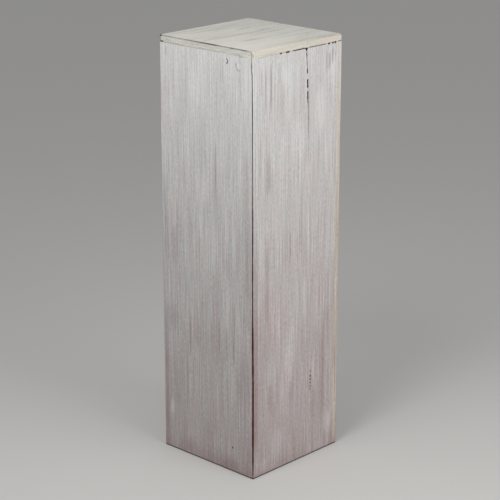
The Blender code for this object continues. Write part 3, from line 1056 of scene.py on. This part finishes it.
def whitewashed_pine(context, name, wash, thin_wash, blush):
    """Whitewashed pine: planed, stained red-brown, whitewashed and rubbed down along the grain.

    The eye gets a matt, chalky skin with fine streaks along the grain, a little pinker towards the foot, and
    dark red wood where it is rubbed through. blush is how much the stain tints the wash at the floor and at
    the top.
    """
    found = bpy.data.materials.get(name)
    if found:
        return found
    finish = context.scene.column_finish
    material, tree, shader = new_material(name)
    unclamped = {"clamp": False}
    add = {"operation": "ADD"}
    multiply_add = {"operation": "MULTIPLY_ADD"}
    place = add_node(tree, "TexCoord").outputs["Object"]
    height = add_node(tree, "SeparateXYZ", Vector=place).outputs["Z"]
    levels = {"Value": height, "From_Max": HEIGHT}
    marks = {
        title: add_node(tree, "Attribute", {"attribute_name": title}).outputs["Fac"]
        for title in ("grain_across", "grain_along", "streak", "rubbed", "cream", "blush", "dirt")
    }

    # Patterns on the unrolled boards, and how far each one swings what it steers
    places = {"X": marks["grain_across"], "Y": marks["grain_along"]}
    unrolled = add_node(tree, "CombineXYZ", **places).outputs[0]
    patterns, swings = {}, {}
    for title, width, length, detail, swing in GRAIN_PATTERNS:
        scale = (1 / (width * MM), 1 / (length * MM), 1.0)
        mapped = add_node(tree, "Mapping", Vector=unrolled, Scale=scale).outputs[0]
        look = {"Scale": 1.0, "Detail": detail, "Roughness": NOISE_ROUGHNESS}
        noise = add_node(tree, "TexNoise", {"noise_dimensions": "2D"}, Vector=mapped, **look)
        patterns[title] = noise.outputs[0]
        ends = {"To_Min": -swing, "To_Max": swing}
        swings[title] = add_node(tree, "MapRange", unclamped, Value=patterns[title], **ends).outputs[0]

    # Share of the wash that is left: less towards the floor, and it comes and goes along the grain
    ends = {"To_Min": finish.cover_low, "To_Max": finish.cover_high}
    cover = add_node(tree, "MapRange", unclamped, **levels, **ends).outputs[0]
    for title in ("fibres", "streaks", "specks", "bands"):
        cover = add_node(tree, "Math", add, _0=cover, _1=swings[title]).outputs[0]
    ends = {"To_Min": RUB_RANGE[0], "To_Max": RUB_RANGE[1]}
    by_fibre = add_node(tree, "MapRange", unclamped, Value=patterns["fibres"], **ends).outputs[0]
    for title, weight in (("streak", STREAK_SHARE), ("rubbed", by_fibre)):
        cover = add_node(tree, "Math", multiply_add, _0=marks[title], _1=weight, _2=cover).outputs[0]
    ramp = add_node(tree, "ValToRGB", _0=cover)
    colours = (finish.stain, finish.rubbed_stain, thin_wash, wash)
    while len(ramp.color_ramp.elements) < len(COVER_STOPS):
        ramp.color_ramp.elements.new(0.5)
    for element, position, colour in zip(ramp.color_ramp.elements, COVER_STOPS, colours):
        element.position = position
        element.color = (*colour, 1.0)

    # Tints over it: cream on edges, stain that bleeds into the wash, dark grime on worn edges, and painted
    # shade with grime in every hollow and at the foot
    ends = {"To_Min": blush[0], "To_Max": blush[1]}
    bleeding = add_node(tree, "MapRange", unclamped, **levels, **ends).outputs[0]
    for part in (swings["tints"], marks["blush"]):
        bleeding = add_node(tree, "Math", add, _0=bleeding, _1=part).outputs[0]
    colour = ramp.outputs[0]
    for share, layer, blend in (
        (marks["cream"], finish.cream, "MULTIPLY"),
        (bleeding, finish.blush, "MULTIPLY"),
        (marks["dirt"], finish.crevice_shade_and_dirt, "MIX"),
    ):
        settings = {"data_type": "RGBA", "blend_type": blend}
        colour = add_node(tree, "Mix", settings, _0=share, _6=colour, _7=(*layer, 1.0)).outputs[2]
    tree.links.new(colour, shader.inputs["Base Color"])
    ends = {"To_Min": ROUGHNESS_RANGE[0], "To_Max": ROUGHNESS_RANGE[1]}
    roughness = add_node(tree, "MapRange", Value=cover, **ends).outputs[0]
    tree.links.new(roughness, shader.inputs["Roughness"])
    shader.inputs["Specular IOR Level"].default_value = SPECULAR

    # Relief of the fibres, finer than the mesh carries
    parts = {"_0": patterns["streaks"], "_1": RELIEF_STREAKS, "_2": patterns["fibres"]}
    relief = add_node(tree, "Math", multiply_add, **parts).outputs[0]
    bump = add_node(tree, "Bump", Height=relief, Distance=RELIEF_DEPTH, Strength=RELIEF_STRENGTH)
    tree.links.new(bump.outputs[0], shader.inputs["Normal"])
    return material


def bare_pine(context):
    """Bare planed pine: the unfinished inside, pale yellow-brown with soft growth rings."""
    found = bpy.data.materials.get("Bare planed pine")
    if found:
        return found
    colour = context.scene.column_finish.bare_pine
    material, tree, shader = new_material("Bare planed pine")
    place = add_node(tree, "TexCoord").outputs["Object"]
    scale = (1 / RING_WIDTH, 1 / RING_WIDTH, 1 / RING_LENGTH)
    mapped = add_node(tree, "Mapping", Vector=place, Scale=scale).outputs[0]
    rings = add_node(tree, "TexNoise", Vector=mapped, Scale=1.0, Detail=3.0).outputs[0]
    ramp = add_node(tree, "ValToRGB", _0=rings)
    for element, (position, shade) in zip(ramp.color_ramp.elements, RING_SHADES):
        element.position = position
        element.color = (*[shade * channel for channel in colour], 1.0)
    tree.links.new(ramp.outputs[0], shader.inputs["Base Color"])
    shader.inputs["Roughness"].default_value = PINE_ROUGHNESS
    return material


class COLUMN_OT_front_board(bpy.types.Operator):
    """Build the front board, with its two knots, nail hole and rubbed arrises"""

    bl_idname = "column.front_board"
    bl_label = "Front board"

    def execute(self, context):
        finer = {"across_spots": FRONT_ACROSS_SPOTS, "down_spots": FRONT_DOWN_SPOTS}
        upright_board(context, "front_board", FRONT, mark_front, seed=11, edge_strips=True, **finer)
        return {"FINISHED"}


class COLUMN_OT_right_board(bpy.types.Operator):
    """Build the right board, with its open split, chip and drying check"""

    bl_idname = "column.right_board"
    bl_label = "Right board"

    def execute(self, context):
        finer = {"across_spots": RIGHT_ACROSS_SPOTS, "down_spots": RIGHT_DOWN_SPOTS, "bend": follow_split}
        upright_board(context, "right_board", RIGHT, mark_right, seed=22, edge_strips=False, **finer)
        return {"FINISHED"}


class COLUMN_OT_hidden_boards(bpy.types.Operator):
    """Build the back and the left board, which are plainer"""

    bl_idname = "column.hidden_boards"
    bl_label = "Back and left boards"

    def execute(self, context):
        upright_board(context, "back_board", BACK, mark_back, seed=33, edge_strips=True)
        upright_board(context, "left_board", LEFT, mark_left, seed=44, edge_strips=False)
        return {"FINISHED"}


class COLUMN_OT_top_board(bpy.types.Operator):
    """Build the top board, with its drying cracks and worn arrises"""

    bl_idname = "column.top_board"
    bl_label = "Top board"

    def execute(self, context):
        build_top_board(context)
        return {"FINISHED"}


class COLUMN_OT_stage(bpy.types.Operator):
    """Make the floor, the soft lights and the camera"""

    bl_idname = "column.stage"
    bl_label = "Stage"

    def execute(self, context):
        stage = context.scene.column_stage
        half = stage.floor_width / 2
        mesh = bpy.data.meshes.new("floor")
        corners = [(-half, -half, 0), (half, -half, 0), (half, half, 0), (-half, half, 0)]
        mesh.from_pydata(corners, [], [(0, 1, 2, 3)])

        # Matt painted board gives the eye a plain pale ground with no gloss
        material, _, shader = new_material("Matt painted floor")
        shader.inputs["Base Color"].default_value = (*stage.floor, 1.0)
        shader.inputs["Roughness"].default_value = FLOOR_ROUGHNESS
        mesh.materials.append(material)
        floor = bpy.data.objects.new("floor", mesh)
        context.scene.collection.objects.link(floor)

        for name, azimuth, distance, height, size, power in LIGHTS:
            lamp = bpy.data.lights.new(name, "AREA")
            lamp.size = size
            lamp.energy = power
            light = bpy.data.objects.new(name, lamp)
            turn = radians(azimuth)
            light.location = (distance * sin(turn), -distance * cos(turn), height)
            aim = Vector((0.0, 0.0, LIGHT_AIM)) - light.location
            light.rotation_euler = aim.to_track_quat("-Z", "Y").to_euler()
            context.scene.collection.objects.link(light)

        world = bpy.data.worlds.new("Studio")
        world.use_nodes = True
        background = world.node_tree.nodes["Background"]
        background.inputs["Color"].default_value = (1.0, 1.0, 1.0, 1.0)
        background.inputs["Strength"].default_value = WORLD_STRENGTH
        context.scene.world = world
        context.scene.view_settings.view_transform = "Standard"

        lens = bpy.data.cameras.new("camera")
        lens.lens = stage.lens
        camera = bpy.data.objects.new("camera", lens)
        to_right = Vector((cos(stage.azimuth), sin(stage.azimuth), 0.0))
        target = Vector((0.0, 0.0, stage.aim_height)) - to_right * stage.aim_left
        flat = cos(stage.elevation)
        toward = Vector((sin(stage.azimuth) * flat, -cos(stage.azimuth) * flat, sin(stage.elevation)))
        camera.location = target + toward * stage.distance
        camera.rotation_euler = (-toward).to_track_quat("-Z", "Y").to_euler()
        context.scene.collection.objects.link(camera)
        context.scene.camera = camera
        return {"FINISHED"}


STEPS = (
    COLUMN_OT_stage,
    COLUMN_OT_front_board,
    COLUMN_OT_right_board,
    COLUMN_OT_hidden_boards,
    COLUMN_OT_top_board,
)


class COLUMN_PT_panel(bpy.types.Panel):
    """Sizes, colours and steps of the column"""

    bl_idname = "COLUMN_PT_panel"
    bl_label = "Whitewashed column"
    bl_space_type = "VIEW_3D"
    bl_region_type = "UI"
    bl_category = "Column"

    def draw(self, context):
        scene = context.scene
        for settings in (scene.column_wood, scene.column_finish, scene.column_stage):
            box = self.layout.box()
            for title in settings.bl_rna.properties.keys():
                if title not in {"rna_type", "name"}:
                    box.prop(settings, title)
        for step in STEPS:
            self.layout.operator(step.bl_idname)


SETTINGS = {"column_wood": ColumnWood, "column_finish": ColumnFinish, "column_stage": ColumnStage}
CLASSES = tuple(SETTINGS.values()) + STEPS + (COLUMN_PT_panel,)


def register():
    """Make the settings, the steps and the panel known to Blender."""
    for cls in CLASSES:
        bpy.utils.register_class(cls)
    for title, group in SETTINGS.items():
        setattr(bpy.types.Scene, title, PointerProperty(type=group))


def unregister():
    """Take them out again."""
    for title in SETTINGS:
        delattr(bpy.types.Scene, title)
    for cls in reversed(CLASSES):
        bpy.utils.unregister_class(cls)


def main():
    """Build the stage and every board."""
    register()
    bpy.ops.column.stage()
    bpy.ops.column.front_board()
    bpy.ops.column.right_board()
    bpy.ops.column.hidden_boards()
    bpy.ops.column.top_board()


if __name__ == "__main__":
    main()
